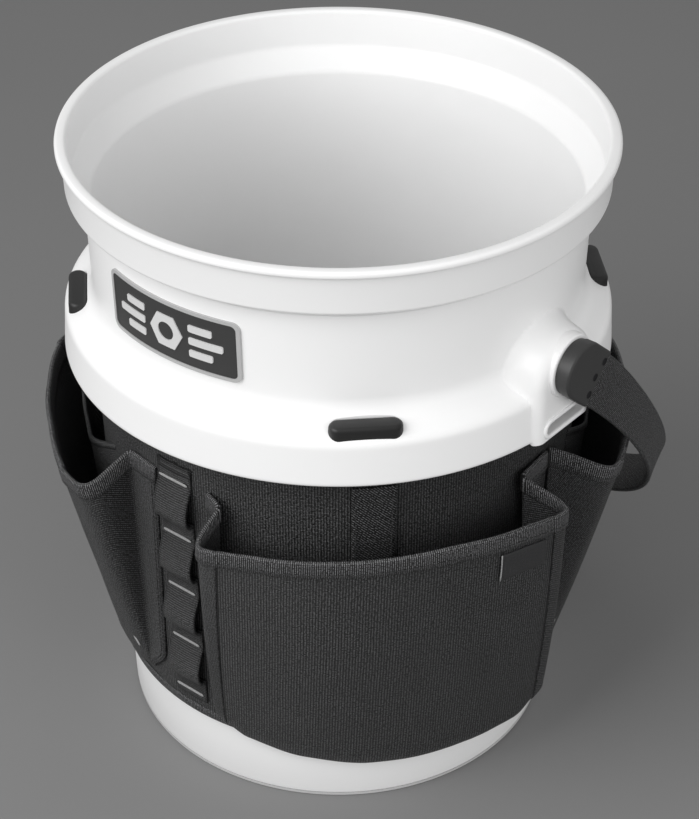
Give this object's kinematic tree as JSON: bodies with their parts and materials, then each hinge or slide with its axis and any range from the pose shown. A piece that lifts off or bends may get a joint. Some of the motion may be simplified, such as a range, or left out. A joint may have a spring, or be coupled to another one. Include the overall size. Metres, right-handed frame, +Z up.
{
  "type": "tool bucket organizer",
  "caption": "Moulded round bucket with a swinging webbing handle and a fabric wrap of open-topped tool pockets and webbing loops.",
  "frame": {"origin": "centre of the foot ring's underside", "axes": "+Z up the bucket's axis, -Y out through the badge, handle pivots on the X direction with +X on the badge's right as a viewer sees it"},
  "size_m": [0.3336, 0.343, 0.37],
  "materials": {
    "shell_plastic": "satin white, lightly glossy moulding",
    "foot_rubber": "matte",
    "pad_rubber": "satin",
    "badge_border": "satin",
    "badge_field": "satin",
    "badge_mark": "satin",
    "bush_plastic": "self-lubricating, satin",
    "wrap_fabric": "coarse woven nylon, matte",
    "binding_tape": "ribbed grosgrain tape",
    "webbing": "twill webbing",
    "tack_thread": "dense satin stitch",
    "label_cloth": "smooth woven label",
    "loop_tape": "brushed loop tape",
    "hook_tape": "moulded hook tape",
    "grip_rubber": "matte",
    "knob_plastic": "fine grained, satin",
    "screw_steel": "black oxide",
    "pin_steel": "ground"
  },
  "bodies": {
    "bucket": {"bucket_shell": "shell_plastic", "foot_ring": "foot_rubber", "badge_bezel": "badge_border", "badge_plate": "badge_field", "badge_emblem": "badge_mark", "ledge_pad_front_left": "pad_rubber", "ledge_pad_front_right": "pad_rubber", "ledge_pad_rear_left": "pad_rubber", "ledge_pad_rear_right": "pad_rubber", "pivot_bush_left": "bush_plastic", "pivot_bush_right": "bush_plastic", "belt_panel": "wrap_fabric", "belt_bottom_binding": "binding_tape", "belt_top_binding": "binding_tape", "daisy_chain_front": "webbing", "bar_tacks": "tack_thread", "front_pocket_panel": "wrap_fabric", "front_pocket_gusset_left": "wrap_fabric", "front_pocket_gusset_right": "wrap_fabric", "front_pocket_binding": "binding_tape", "pocket_webbing_strip": "webbing", "front_label": "label_cloth", "left_pocket_panel": "wrap_fabric", "left_pocket_gusset_front": "wrap_fabric", "left_pocket_gusset_rear": "wrap_fabric", "left_pocket_binding": "binding_tape", "left_pocket_divider": "wrap_fabric", "right_pocket_panel": "wrap_fabric", "right_pocket_gusset_front": "wrap_fabric", "right_pocket_gusset_rear": "wrap_fabric", "right_pocket_binding": "binding_tape", "right_pocket_divider": "wrap_fabric", "loop_strip": "loop_tape", "hook_strip": "hook_tape", "closure_flap": "wrap_fabric"},
    "handle": {"handle_strap": "webbing", "handle_grip": "grip_rubber", "knob_cover_left": "knob_plastic", "knob_cover_right": "knob_plastic", "knob_backplate_left": "knob_plastic", "knob_backplate_right": "knob_plastic", "knob_screws_left": "screw_steel", "knob_screws_right": "screw_steel", "pivot_pin_left": "pin_steel", "pivot_pin_right": "pin_steel"}
  },
  "joints": [
    {"name": "handle_swing", "type": "hinge", "parent": "bucket", "child": "handle", "pos_m": [0, 0, 0.283], "axis": [1, 0, 0], "range_deg": [0, 258]}
  ]
}
